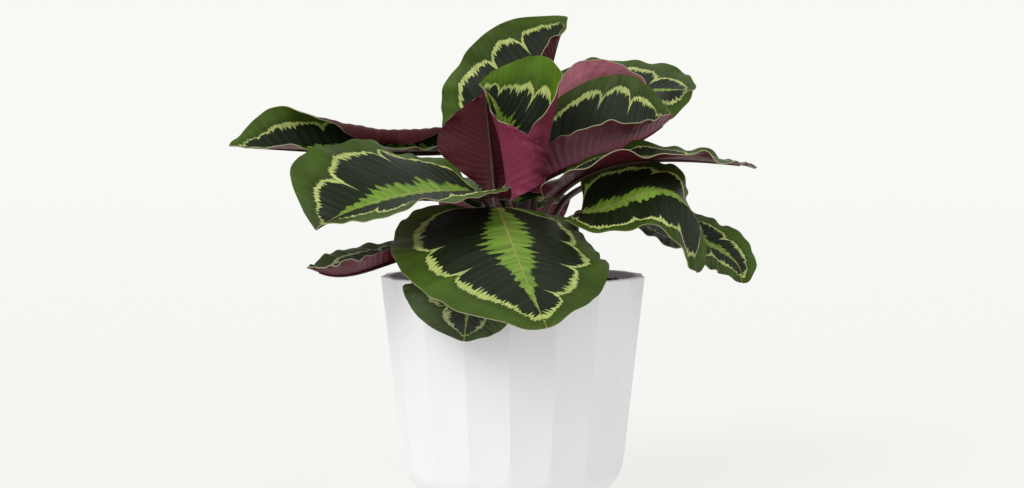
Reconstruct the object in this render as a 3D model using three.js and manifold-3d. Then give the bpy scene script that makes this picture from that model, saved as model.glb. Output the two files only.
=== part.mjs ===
// Potted foliage plant: broad painted leaves on short stalks in a white fluted pot.
// Units are millimetres, +Z is up, -Y is the front, and the origin is the centre of the pot's flat base.
// Every leaf is one thin closed blade: a flat outline laid along a curved midrib, then folded and curled
// on each side of it, with a raised rib under the midrib. Every stalk stands in a plain hole in the soil.
import * as THREE from "three";
import { mergeVertices } from "three/addons/utils/BufferGeometryUtils.js";
import Module from "manifold-3d";

// ---------------------------------------------------------------- pot
const POT_HEIGHT = 145;
const RIM_RADIUS = 85;          // to the ridges between the flutes, at the rim
const POT_TAPER = 0.112;        // radius lost for each millimetre down
const FLUTES = 18;
const FLUTE_TURN = -1.5;        // degrees from the front to the nearest ridge
const FLUTE_STEPS = 3;          // facets across one flute
const FLUTE_HOLLOW = 0.8;       // hollow of a flute below the chord between its ridges
const BASE_RADIUS = 40;         // flat ring that the pot stands on
const CORNER_RADIUS = 32;       // rounding from the base to the side
const POT_WALL_INSIDE = 79;     // inside radius at the rim
const POT_FLOOR = 7;            // thickness of the floor
const RIM_EASE = 0.8;           // small bevel on both edges of the rim

// ---------------------------------------------------------------- soil
const SOIL_EDGE = 139.6;        // height of the soil at the pot wall
const SOIL_CROWN = 1.6;         // how much higher it is in the middle
const SOIL_GAP = 0.3;           // clearance to the pot
const HOLE_DEPTH = 13;          // how far a stalk goes into the soil
const HOLE_GAP = 0.35;          // clearance round a stalk

// ---------------------------------------------------------------- leaves
const BLADE = 0.8;              // thickness of a blade
const RIB = 1.0;                // extra thickness under the midrib at the joint
const RIB_COLUMN = 0.06;        // half width of the rib, as a share of the half width of the blade
const BASE_HALF = 1.6;          // half width of the blade at its joint
const TIP_HALF = 0.5;           // half width of the blade at its very tip
const STALK_FOOT = 3.0;         // radius of a stalk in the soil
const STALK_END = 1.9;          // radius of a stalk at the joint
const STALK_SIDES = 6;
const STALK_STEPS = 7;
const JOINT_GAP = 0.8;          // clearance between a stalk and its blade
const ROWS = 12;                // rows of a blade along the midrib

// For each leaf: midrib = its joint, two points one and two thirds along, and its tip.
// width = full widths that the left and the right half would have as symmetric leaves. face = which way the
// upper side looks at the joint and at the tip. fold and curl = degrees at the joint, half way and at the
// tip, for the left and the right half. full = how blunt the outline is, lobe = heart lobes behind the joint,
// sweep = how far the margin runs ahead, wave = height, count and phase of the margin's waves.
// foot = where the stalk stands in the soil, rise and reach = lengths of its lower and upper bend.
const LEAVES = {
  front: {
    midrib: [[-9, -16, 189], [-2, -64, 171], [7, -110, 150], [19, -142, 124]],
    width: [116, 142], full: [0.66, 0.62], lobe: 0.12, wave: [2.2, 2.6, 0.55],
    belly: 0.13,
    face: [[-0.05, -0.3, 1], [0.12, -0.6, 0.6]],
    fold: [[-14, 0, 0], [1, 4, 0]], curl: [[-20, -22, -10], [-10, -16, 0]],
    foot: [-3, -7], rise: 30, reach: 20,
  },
  under: {
    midrib: [[-21, -46, 159], [-22, -78, 152.5], [-25.5, -95, 135], [-29, -97, 112]],
    width: [58, 84], full: [0.8, 0.9], belly: -0.05, lobe: 0.02, tip: 0.03, wave: [1.5, 3, 0.2],
    face: [[-0.15, -0.3, 1], [0, -1, 0.2]],
    fold: [[0, 0, 0], [0, 0, 0]], curl: [[0, 0, 0], [-15, -20, -10]],
    foot: [-10, -17], rise: 12, reach: 16,
  },
  left: {
    midrib: [[-20, -10, 194], [-53, -38, 199], [-90, -58, 191], [-119, -66, 176]],
    width: [84, 122], full: [0.62, 0.55], lobe: 0.02, sweep: [0, 0.1], wave: [2.5, 3, 0.45],
    belly: 0.07,
    face: [[0, -0.35, 0.95], [-0.2, -0.85, 0.4]],
    fold: [[20, 27, 60], [22, 3, 6]], curl: [[0, 0, 0], [-10, -10, -10]],
    foot: [-15, -4], rise: 35, reach: 9,
  },
  left_low: {
    midrib: [[-48, -13, 161], [-74, -29, 156.5], [-99, -53, 149], [-122, -75, 154.5]],
    width: [42, 60], full: [1.5, 0.8], belly: -0.06, lobe: 0, wave: [1.2, 3, 0.2],
    sweep: [0.08, 0],
    face: [[0, -0.05, 1], [0, -0.05, 1]],
    fold: [[0, 36, 20], [8, 16, 0]], curl: [[0, 0, 0], [0, 0, 0]],
    foot: [-19, -12], rise: 10, reach: 10,
  },
  left_high: {
    midrib: [[-41, 70, 225.5], [-88, 50, 224], [-138, 20, 225.5], [-182, 0, 227.5]],
    width: [66, 74], full: [1, 0.7], lobe: 0.05, wave: [1.5, 4, 0.2], halves: [4, 8],
    face: [[0, -0.1, 1], [0, -0.2, 1]],
    fold: [[10, 12, 10], [20, 26, 22]], curl: [[0, 0, 0], [240, 224, -20]],
    foot: [-19, 19], rise: 66, reach: 29,
  },
  back_left: {
    midrib: [[3, 64, 212], [17, 75, 245.5], [26, 82, 283], [37.5, 85, 317]],
    width: [158, 44], full: [0.9, 1.2], lobe: 0.07, wave: [2.6, 3, 0.6],
    belly: 0.08,
    face: [[-0.2, -1, 0.3], [-0.2, -1, 0.3]],
    fold: [[-15, -15, 0], [120, 120, 50]], curl: [[0, 0, 0], [10, 10, 10]],
    foot: [0, 24], rise: 40, reach: 22,
  },
  back_mid: {
    midrib: [[-12.5, 26, 195], [-14, 32, 215.5], [-16.5, 36, 242], [-19, 36, 269.5]],
    width: [60, 68], full: 3, belly: -0.06, lobe: 0, wave: [2, 3, 0.2],
    face: [[0.1, 1, 0], [0.1, 1, 0]],
    fold: [[30, 20, 0], [0, 0, 0]], curl: [[0, 0, 0], [0, 0, 0]],
    foot: [-9, 15], rise: 25, reach: 16,
  },
  centre: {
    midrib: [[0.5, 14, 190], [-3.5, 16, 215.5], [-9, 18, 245], [-22, 18, 268]],
    width: [96, 132], full: [1.5, 0.55], lobe: 0, sweep: [-0.2, 0.03], wave: [0, 3, 0.2], halves: [6, 9],
    face: [[0.75, -0.6, 0.2], [0.45, -0.85, 0.3]],
    fold: [[4, 15, 36], [2, -19, 0]], curl: [[198, 162, 42], [330, 230, 54]],
    foot: [0, 6], rise: 25, reach: 14,
  },
  right_high: {
    midrib: [[16, 57, 203], [45.5, 47, 217], [76.5, 33, 228.5], [103.5, 20, 246.5]],
    width: [106, 94], full: [0.85, 1.3], belly: -0.02, lobe: 0, sweep: [0.12, 0.16], wave: [1.6, 3, 0.2],
    face: [[-0.2, -0.4, 0.9], [-0.2, -0.4, 0.9]],
    fold: [[48, 46, 20], [58, 42, 30]], curl: [[10, 10, 10], [10, 10, 10]],
    foot: [5, 44], rise: 18, reach: 10,
  },
  back_right: {
    midrib: [[25, 83, 235], [61, 92, 256], [95, 95, 266], [124, 86, 266.5]],
    width: [92, 84], full: 0.6, lobe: 0.04, wave: [1.6, 4, 0.2],
    face: [[0, -0.1, 1], [0, -0.2, 1]],
    fold: [[45, 32, 10], [52, 46, -80]], curl: [[0, 0, 0], [0, 0, 0]],
    foot: [15, 50], rise: 45, reach: 20,
  },
  right_thin: {
    midrib: [[27, 8, 195], [60, 2, 214.5], [104.5, 2, 219], [157, 6, 214]],
    width: [36, 90], full: 0.75, lobe: 0.04, wave: [2.2, 4.5, 0],
    face: [[0, -0.05, 1], [0, -0.05, 1]],
    fold: [[20, 30, 6], [10, 8, 2]], curl: [[0, 0, 0], [0, 0, 0]],
    foot: [12, 2], rise: 25, reach: 14,
  },
  right_front: {
    midrib: [[43, -7, 185], [70, -27, 193], [94, -43, 199], [117, -44, 174]],
    width: [80, 72], full: [0.5, 1.2], lobe: 0.15, wave: [1.2, 3, 0.2],
    sweep: [-0.12, 0.34],
    face: [[-0.5, -0.75, 0.6], [0.55, -0.7, 0.45]],
    fold: [[-2, -26, -50], [40, 16, 10]], curl: [[0, 0, 0], [0, 0, 0]],
    foot: [43, 3], rise: 17, reach: 8,
  },
  right_low: {
    midrib: [[82, 8, 184], [109, -6, 172], [135, -16, 159], [144, -20, 141]],
    width: [46, 58], full: 0.6, lobe: 0.03, wave: [1.5, 3, 0.2],
    face: [[0, -0.5, 1], [0.3, -0.6, 0.7]],
    fold: [[6, 6, 6], [18, 14, 7]], curl: [[0, 0, 0], [0, 0, 0]],
    foot: [21, -2], rise: 35, reach: 26,
  },
  rear_left: {
    midrib: [[-16, 46, 192], [-40, 68, 205], [-62, 92, 202], [-84, 114, 188]],
    width: [84, 88], full: 0.7, lobe: 0.05, wave: [2, 3, 0.1],
    face: [[0, 0.1, 1], [-0.2, 0.25, 1]],
    fold: [[10, 8, 4], [10, 8, 4]], curl: [[-10, -14, -10], [-10, -14, -10]],
    foot: [-14, 25], rise: 22, reach: 16,
  },
  rear_mid: {
    midrib: [[-2, 62, 186], [-5, 92, 197], [-6, 122, 184], [-4, 144, 154]],
    width: [92, 90], full: 0.7, lobe: 0.06, wave: [2.2, 3, 0.4],
    face: [[0, 0.2, 1], [0, 0.8, 0.5]],
    fold: [[10, 6, 2], [10, 6, 2]], curl: [[-12, -20, -14], [-12, -20, -14]],
    foot: [-5, 32], rise: 22, reach: 16,
  },
  rear_right: {
    midrib: [[62, 62, 206], [80, 82, 207], [94, 101, 198], [105, 116, 183]],
    width: [66, 60], full: 0.7, lobe: 0.05, wave: [2, 3, 0.7],
    face: [[0, 0.1, 1], [0.2, 0.3, 1]],
    fold: [[8, 6, 4], [8, 6, 4]], curl: [[-10, -14, -10], [-10, -14, -10]],
    foot: [20, 12], rise: 50, reach: 30,
  },
};

// ---------------------------------------------------------------- materials
const material = (color, roughness) => new THREE.MeshStandardMaterial({
  color, roughness, metalness: 0, side: THREE.DoubleSide });
const POT_COLOR = 0xe4e5e9, SOIL_COLOR = 0x1f1a17, LEAF_COLOR = 0x3d5f22, STALK_COLOR = 0x4a2126;

// ---------------------------------------------------------------- helpers
const vec = (p) => new THREE.Vector3(p[0], p[1], p[2]);
const clamp01 = (t) => Math.min(1, Math.max(0, t));
const pair = (value) => (Array.isArray(value) ? value : [value, value]);
const radians = (a) => a * Math.PI / 180;

// A value that is list[0] at the joint, list[1] half way and list[2] at the tip.
function along(list, t) {
  return list[0] * (1 - t) * (1 - 2 * t) + 4 * list[1] * t * (1 - t) + list[2] * t * (2 * t - 1);
}

// A mesh from rows of points: cells between neighbouring rows, closed along the row when ring is true.
class Shell {
  constructor() { this.points = []; this.faces = []; }
  add(p) { this.points.push(p.x, p.y, p.z); return this.points.length / 3 - 1; }
  quad(a, b, c, d) { this.faces.push(a, b, c, a, c, d); }
  tri(a, b, c) { this.faces.push(a, b, c); }
  geometry() {
    const g = new THREE.BufferGeometry();
    g.setAttribute("position", new THREE.Float32BufferAttribute(this.points, 3));
    g.setIndex(this.faces);
    g.computeVertexNormals();
    return g;
  }
}

// ---------------------------------------------------------------- blade of a leaf
class Midrib {
  constructor(points) {
    const q = points.map(vec);
    const mix = (a, b, c, d) => q[0].clone().multiplyScalar(a).addScaledVector(q[1], b)
      .addScaledVector(q[2], c).addScaledVector(q[3], d).divideScalar(6);
    this.curve = new THREE.CubicBezierCurve3(q[0], mix(-5, 18, -9, 2), mix(2, -9, 18, -5), q[3]);
    this.curve.arcLengthDivisions = 400;
    this.length = this.curve.getLength();
  }
  // Point and direction at a share of the length; past the ends it runs on straight.
  at(share) {
    const inside = clamp01(share);
    const t = this.curve.getUtoTmapping(inside);
    const direction = this.curve.getTangent(t).normalize();
    const point = this.curve.getPoint(t).addScaledVector(direction, (share - inside) * this.length);
    return { point, direction };
  }
}

// Half width and position along the midrib of the margin at u, both as shares.
function margin(u, leaf, side) {
  const tip = leaf.tip ?? 0.06;
  let x = Math.sin(Math.PI * u) ** pair(leaf.full)[side];
  let y = (1 - Math.cos(Math.PI * u)) / 2;
  y -= (leaf.belly ?? 0) * Math.sin(Math.PI * y);
  y = y * (1 - tip) - leaf.lobe * Math.sin(Math.PI * clamp01(u / 0.45));
  const k = clamp01((u - 0.86) / 0.14);
  y += tip * k ** 1.5;
  x *= 1 - 0.35 * Math.sin(Math.PI * k) * k;
  y += (leaf.sweep ?? [0, 0])[side] * 2 * u * Math.sin(Math.PI * u);
  return { x: Math.max(0, x), y };
}

// Point of the blade's middle surface: u runs from the joint to the tip, v from -1 (left) to 1 (right).
function bladePoint(leaf, rib, u, v) {
  const side = v < 0 ? 0 : 1, sign = v < 0 ? -1 : 1, a = Math.abs(v);
  const half = leaf.width[side] / 2;
  const edge = margin(u, leaf, side);
  const x = (edge.x * half + BASE_HALF * (1 - u) + TIP_HALF * u) * a;
  const start = 0.995 * u ** 1.08;
  const y = start + (edge.y - start) * (0.55 * a + 0.45 * a * a);
  const { point, direction } = rib.at(y);
  const t = clamp01(y);
  const blend = t * t * (3 - 2 * t);
  const face = vec(leaf.face[0]).normalize().lerp(vec(leaf.face[1]).normalize(), blend);
  const up = face.addScaledVector(direction, -face.dot(direction)).normalize();
  const out = new THREE.Vector3().crossVectors(direction, up);
  const fold = radians(along(leaf.fold[side], t));
  let curl = radians(along(leaf.curl[side], t));
  if (Math.abs(curl) < 1e-3) curl = 1e-3;
  const turn = fold + curl * x / half;
  let across = (half / curl) * (Math.sin(turn) - Math.sin(fold));
  let rise = -(half / curl) * (Math.cos(turn) - Math.cos(fold));
  const [height, count, phase] = leaf.wave;
  const p = phase + (side ? 0.37 : 0);
  const wave = height * a ** 2.5 * Math.sqrt(Math.sin(Math.PI * clamp01(u)))
    * (Math.sin(2 * Math.PI * (count * u + p)) + 0.45 * Math.sin(2 * Math.PI * (1.83 * count * u + 1.7 * p + 0.2)));
  across -= wave * Math.sin(turn);
  rise += wave * Math.cos(turn);
  return point.addScaledVector(out, across * sign).addScaledVector(up, rise);
}

function bladeGeometry(leaf) {
  const rib = new Midrib(leaf.midrib);
  const [left, right] = leaf.halves ?? [4, 4];
  const columns = [];
  for (let i = left; i > 0; i--) columns.push(-(RIB_COLUMN + (1 - RIB_COLUMN) * (i / left)));
  columns.push(-RIB_COLUMN, 0, RIB_COLUMN);
  for (let i = 1; i <= right; i++) columns.push(RIB_COLUMN + (1 - RIB_COLUMN) * (i / right));
  const shell = new Shell();
  const top = [], under = [];
  for (let i = 0; i <= ROWS; i++) {
    const s = i / ROWS;
    const u = s + 0.045 * Math.sin(2 * Math.PI * s) * -1;      // rows closer together at both ends
    const rowTop = [], rowUnder = [];
    for (const v of columns) {
      const e = 0.004, u0 = clamp01(u - e), u1 = clamp01(u + e);
      const v0 = Math.max(-1, v - e), v1 = Math.min(1, v + e);
      const p = bladePoint(leaf, rib, u, v);
      const du = bladePoint(leaf, rib, u1, v).sub(bladePoint(leaf, rib, u0, v));
      const dv = bladePoint(leaf, rib, u, v1).sub(bladePoint(leaf, rib, u, v0));
      const normal = du.cross(dv).normalize();
      const deep = BLADE / 2 + (v === 0 ? RIB * (1 - 0.75 * s) : 0);
      rowTop.push(shell.add(p.clone().addScaledVector(normal, BLADE / 2)));
      rowUnder.push(shell.add(p.clone().addScaledVector(normal, -deep)));
    }
    top.push(rowTop); under.push(rowUnder);
  }
  const last = columns.length - 1;
  for (let i = 0; i < ROWS; i++) {
    for (let j = 0; j < last; j++) {
      shell.quad(top[i][j], top[i + 1][j], top[i + 1][j + 1], top[i][j + 1]);
      const [a, b, c, d] = [under[i][j], under[i + 1][j], under[i + 1][j + 1], under[i][j + 1]];
      shell.tri(a, c, b); shell.tri(a, d, c);
    }
    shell.quad(top[i][0], under[i][0], under[i + 1][0], top[i + 1][0]);
    shell.quad(top[i][last], top[i + 1][last], under[i + 1][last], under[i][last]);
  }
  for (let j = 0; j < last; j++) {
    shell.quad(top[0][j], top[0][j + 1], under[0][j + 1], under[0][j]);
    shell.quad(top[ROWS][j + 1], top[ROWS][j], under[ROWS][j], under[ROWS][j + 1]);
  }
  return shell.geometry();
}

// ---------------------------------------------------------------- stalk of a leaf
function stalkCurve(leaf) {
  const rib = new Midrib(leaf.midrib);
  const { point, direction } = rib.at(0);
  const end = point.clone().addScaledVector(direction, -JOINT_GAP);
  const low = SOIL_EDGE - HOLE_DEPTH, out = SOIL_EDGE + 5;
  const foot = new THREE.Vector3(leaf.foot[0], leaf.foot[1], out);
  const bend = new THREE.CubicBezierCurve3(foot, foot.clone().add(new THREE.Vector3(0, 0, leaf.rise)),
    end.clone().addScaledVector(direction, -leaf.reach), end);
  const path = new THREE.CurvePath();
  path.add(new THREE.LineCurve3(new THREE.Vector3(leaf.foot[0], leaf.foot[1], low), foot));
  path.add(bend);
  return { path, share: (out - low) / path.getLength() };
}

function stalkGeometry(leaf) {
  const { path, share } = stalkCurve(leaf);
  const stops = [0, share];
  for (let i = 1; i <= STALK_STEPS; i++) stops.push(Math.min(1, share + (1 - share) * i / STALK_STEPS));
  const shell = new Shell();
  const rings = [];
  let side = new THREE.Vector3(1, 0, 0);
  for (const s of stops) {
    const c = path.getPointAt(s), t = path.getTangentAt(s);
    side = side.addScaledVector(t, -side.dot(t)).normalize();
    const other = new THREE.Vector3().crossVectors(t, side);
    const grown = clamp01((s - share) / (1 - share));
    const r = STALK_FOOT + (STALK_END - STALK_FOOT) * Math.sqrt(grown);
    const ring = [];
    for (let k = 0; k < STALK_SIDES; k++) {
      const a = 2 * Math.PI * k / STALK_SIDES;
      ring.push(shell.add(c.clone().addScaledVector(side, r * Math.cos(a)).addScaledVector(other, r * Math.sin(a))));
    }
    rings.push(ring);
  }
  for (let i = 0; i + 1 < rings.length; i++) {
    for (let k = 0; k < STALK_SIDES; k++) {
      const n = (k + 1) % STALK_SIDES;
      shell.quad(rings[i][k], rings[i][n], rings[i + 1][n], rings[i + 1][k]);
    }
  }
  for (let k = 1; k + 1 < STALK_SIDES; k++) {
    shell.tri(rings[0][0], rings[0][k + 1], rings[0][k]);
    const e = rings[rings.length - 1];
    shell.tri(e[0], e[k], e[k + 1]);
  }
  return shell.geometry();
}

// ---------------------------------------------------------------- pot and soil
const AROUND = FLUTES * FLUTE_STEPS;
const turnOf = (k) => radians(FLUTE_TURN + 360 * k / AROUND);
const onRing = (r, k, z) => new THREE.Vector3(r * Math.sin(turnOf(k)), -r * Math.cos(turnOf(k)), z);

function outsideRadius(z, k) {
  const ridge = RIM_RADIUS - POT_TAPER * (POT_HEIGHT - z);
  const t = (k % FLUTE_STEPS) / FLUTE_STEPS;
  const half = Math.PI / FLUTES;
  const chord = Math.cos(half) / Math.cos((2 * t - 1) * half);
  const fluted = ridge * chord - FLUTE_HOLLOW * 4 * t * (1 - t);
  if (z >= CORNER_RADIUS) return fluted;
  const round = BASE_RADIUS + Math.sqrt(CORNER_RADIUS ** 2 - (CORNER_RADIUS - z) ** 2);
  return Math.min(fluted, round);
}
function insideRadius(z) {
  const side = POT_WALL_INSIDE - POT_TAPER * (POT_HEIGHT - z);
  if (z >= CORNER_RADIUS) return side;
  const r = CORNER_RADIUS - 6;
  return Math.min(side, BASE_RADIUS + Math.sqrt(Math.max(0, r ** 2 - (CORNER_RADIUS - z) ** 2)));
}

// Joins rings of points, bottom to top outside and top to bottom inside, and closes both ends with a fan.
function ringSolid(rings, first, last) {
  const shell = new Shell();
  const ids = rings.map((ring) => ring.map((p) => shell.add(p)));
  for (let i = 0; i + 1 < ids.length; i++) {
    for (let k = 0; k < AROUND; k++) {
      const n = (k + 1) % AROUND;
      shell.quad(ids[i][k], ids[i][n], ids[i + 1][n], ids[i + 1][k]);
    }
  }
  const a = shell.add(first), b = shell.add(last), end = ids[ids.length - 1];
  for (let k = 0; k < AROUND; k++) {
    const n = (k + 1) % AROUND;
    shell.tri(a, ids[0][n], ids[0][k]);
    shell.tri(b, end[k], end[n]);
  }
  return shell.geometry();
}

function potGeometry() {
  const ring = (z, radius) => Array.from({ length: AROUND }, (_, k) => onRing(radius(z, k), k, z));
  const rings = [];
  for (const z of [0, 2.5, 7, 13, 19, 25, 32, 80, POT_HEIGHT - RIM_EASE]) rings.push(ring(z, outsideRadius));
  rings.push(ring(POT_HEIGHT, (z, k) => outsideRadius(z, k) - RIM_EASE));
  rings.push(ring(POT_HEIGHT, (z) => insideRadius(z) + RIM_EASE));
  for (const z of [POT_HEIGHT - RIM_EASE, CORNER_RADIUS, 18, POT_FLOOR]) rings.push(ring(z, insideRadius));
  return ringSolid(rings, new THREE.Vector3(0, 0, 0), new THREE.Vector3(0, 0, POT_FLOOR));
}

function soilBlock() {
  const ring = (z, r) => Array.from({ length: AROUND }, (_, k) => onRing(r, k, z));
  const low = POT_FLOOR + SOIL_GAP;
  const rings = [];
  rings.push(ring(low, insideRadius(POT_FLOOR) - 1));
  for (const z of [18, CORNER_RADIUS, SOIL_EDGE]) rings.push(ring(z, insideRadius(z) - SOIL_GAP - 0.2));
  const wide = insideRadius(SOIL_EDGE) - SOIL_GAP;
  for (const share of [0.92, 0.8, 0.62, 0.42]) {
    const r = wide * share;
    rings.push(Array.from({ length: AROUND }, (_, k) => {
      const a = turnOf(k);
      const lumps = 0.5 * Math.sin(5 * a + 9 * share) + 0.4 * Math.sin(11 * a - 21 * share);
      return onRing(r, k, SOIL_EDGE + SOIL_CROWN * (1 - share * share) + lumps * share * (1 - share) * 2);
    }));
  }
  return ringSolid(rings, new THREE.Vector3(0, 0, low), new THREE.Vector3(0, 0, SOIL_EDGE + SOIL_CROWN));
}

const wasm = await Module();
wasm.setup();
function toSolid(geometry) {
  const g = geometry.clone();
  g.deleteAttribute("normal");
  if (g.getAttribute("uv")) g.deleteAttribute("uv");
  const merged = mergeVertices(g, 1e-4);
  return new wasm.Manifold(new wasm.Mesh({
    numProp: 3,
    vertProperties: new Float32Array(merged.getAttribute("position").array),
    triVerts: new Uint32Array(merged.getIndex().array),
  }));
}
function toGeometry(solid) {
  const mesh = solid.getMesh();
  const g = new THREE.BufferGeometry();
  g.setAttribute("position", new THREE.BufferAttribute(new Float32Array(mesh.vertProperties), 3));
  g.setIndex(new THREE.BufferAttribute(new Uint32Array(mesh.triVerts), 1));
  g.computeVertexNormals();
  return g;
}

function soilGeometry() {
  let soil = toSolid(soilBlock());
  for (const leaf of Object.values(LEAVES)) {
    const length = HOLE_DEPTH + 12;
    const drill = new THREE.CylinderGeometry(STALK_FOOT + HOLE_GAP, STALK_FOOT + HOLE_GAP, length, STALK_SIDES);
    drill.rotateX(Math.PI / 2);
    drill.rotateZ(Math.PI / 2);
    drill.translate(leaf.foot[0], leaf.foot[1], SOIL_EDGE - HOLE_DEPTH - SOIL_GAP + length / 2);
    soil = soil.subtract(toSolid(drill));
  }
  return toGeometry(soil);
}

// ---------------------------------------------------------------- the object
const plant = new THREE.Group();
function place(name, geometry, color, roughness) {
  const mesh = new THREE.Mesh(geometry, material(color, roughness));
  mesh.name = name;
  plant.add(mesh);
}
place("pot", potGeometry(), POT_COLOR, 0.6);
place("soil", soilGeometry(), SOIL_COLOR, 0.95);
for (const [name, leaf] of Object.entries(LEAVES)) {
  place("leaf_" + name, bladeGeometry(leaf), LEAF_COLOR, 0.5);
  place("stem_" + name, stalkGeometry(leaf), STALK_COLOR, 0.55);
}

export default plant;
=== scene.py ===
"""Potted prayer plant: broad painted leaves on short stalks in a white fluted pot.

Metres, +Z up, -Y is the front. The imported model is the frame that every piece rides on.
"""
import math

import bmesh
import bpy
import numpy as np
from mathutils import Matrix, Vector, noise


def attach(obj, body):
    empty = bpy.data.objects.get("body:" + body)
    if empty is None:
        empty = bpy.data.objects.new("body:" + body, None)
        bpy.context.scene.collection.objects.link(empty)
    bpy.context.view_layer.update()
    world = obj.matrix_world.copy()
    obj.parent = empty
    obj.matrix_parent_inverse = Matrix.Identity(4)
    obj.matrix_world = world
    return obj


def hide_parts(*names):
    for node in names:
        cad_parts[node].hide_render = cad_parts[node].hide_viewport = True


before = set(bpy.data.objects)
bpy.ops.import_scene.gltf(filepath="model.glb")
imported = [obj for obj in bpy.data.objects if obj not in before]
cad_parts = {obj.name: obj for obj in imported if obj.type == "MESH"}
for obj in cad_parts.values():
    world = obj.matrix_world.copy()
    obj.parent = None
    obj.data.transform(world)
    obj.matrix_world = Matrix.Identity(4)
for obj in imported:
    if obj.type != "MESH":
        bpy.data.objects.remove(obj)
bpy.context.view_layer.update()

bl_info = {
    "name": "Potted Prayer Plant",
    "version": (1, 0, 0),
    "blender": (4, 5, 0),
    "location": "3D View > Sidebar > Plant",
    "description": "Builds a potted prayer plant with painted leaves",
    "category": "Object",
}

MM = 0.001
ROOT = "root"

# ------------------------ sizes of the real object, in mm
POT_HEIGHT, RIM_RADIUS, POT_TAPER = 145, 85, 0.112
FLUTES, FLUTE_TURN, FLUTE_HOLLOW = 18, -1.5, 0.8
BASE_RADIUS, CORNER_RADIUS = 40, 32
POT_WALL, POT_FLOOR, RIM_EASE = 6, 7, 0.9
OUTSIDE_HEIGHTS, INSIDE_HEIGHTS = (33, 36, 60, 90, 120, 138), (120, 90, 60, 40, 32, 26, 20, 15, 11, 8.5)
SOIL_EDGE, SOIL_CROWN, SOIL_GAP = 139.6, 1.6, 0.5
HOLE_DEPTH, FOOT_UP, STALK_FOOT, STALK_END, JOINT_GAP = 13, 5.0, 3.0, 1.9, 0.16
BASE_HALF, TIP_HALF = 1.6, 0.5
RIB_RADIUS, RIB_TIP_RADIUS, RIB_SINK = 1.25, 0.28, 0.1
STALK_RINGS, RIB_RINGS, RIB_SPAN = 26, 34, (0.02, 0.93)
LUMPS, COMPOST_RINGS, COMPOST_SIDES, COMPOST_HEIGHTS = 1.1, 44, 120, (100, 60, 32, 18, 7.3)
CRUMB_SIZE, CRUMB_LIFT = (0.5, 1.3), 0.25

# fine forms of a blade: fields between side veins along it, and heights in mm
SIDE_VEINS, QUILT, UNEVEN, RIPPLE = 23, 0.22, 0.9, 0.75
RIPPLES, HEM, MARGIN_ROWS = (8.3, 13.7), 0.66, 0.045
QUILT_GROWS, UNEVEN_GROWS, UNEVEN_SCALE = 0.012, 0.02, 0.045    # over m from the midrib, per mm

# markings: counts along a blade, then reaches and widths as shares of its half width
TEETH_INSIDE, TEETH_OUTSIDE, BARBS, FINE_VEINS = 52.0, 67.0, 21.0, 58.0
RING_TIP_REACH, RING_TIP_START, RING_TIP_END, RING_ROUGH, RING_TOOTH = 0.93, 0.60, 0.95, 0.05, 0.03
RING_WIDTH, RING_LOBE_WIDTH, RING_CUSP_WIDTH, RING_TEETH = 0.014, 0.035, 0.11, (0.055, 0.022)
BARB_REACH, FINE_REACH, RING_SOFT, FEATHER_SOFT = 0.17, 0.07, 0.007, 0.008
RIB_LINE, RIB_SOFT = (0.0008, 0.0002), 0.0002  # m

# ------------------------ camera, light and paper
CAMERA_PLACE = (-0.7, -1100.0, 216.0)     # mm, from the photo's view
CAMERA_DOWN = 2.67                        # degrees below level
CAMERA_LENS = 60.28                       # mm on a 36 mm wide frame
KEY_TOWARDS, KEY_SPREAD, KEY_TINT = (0.62, 0.62, -0.75), 38, (1.0, 0.99, 0.97)
SKY_TINT, PAPER_TINT = (0.97, 0.985, 1.0, 1.0), (1.0, 1.0, 0.975, 1.0)
FLOOR_FRONT, FLOOR_TURN, FLOOR_RADIUS, FLOOR_RUN, FLOOR_HALF = -6.0, 3.5, 1.5, 13.0, 7.0  # m

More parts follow.
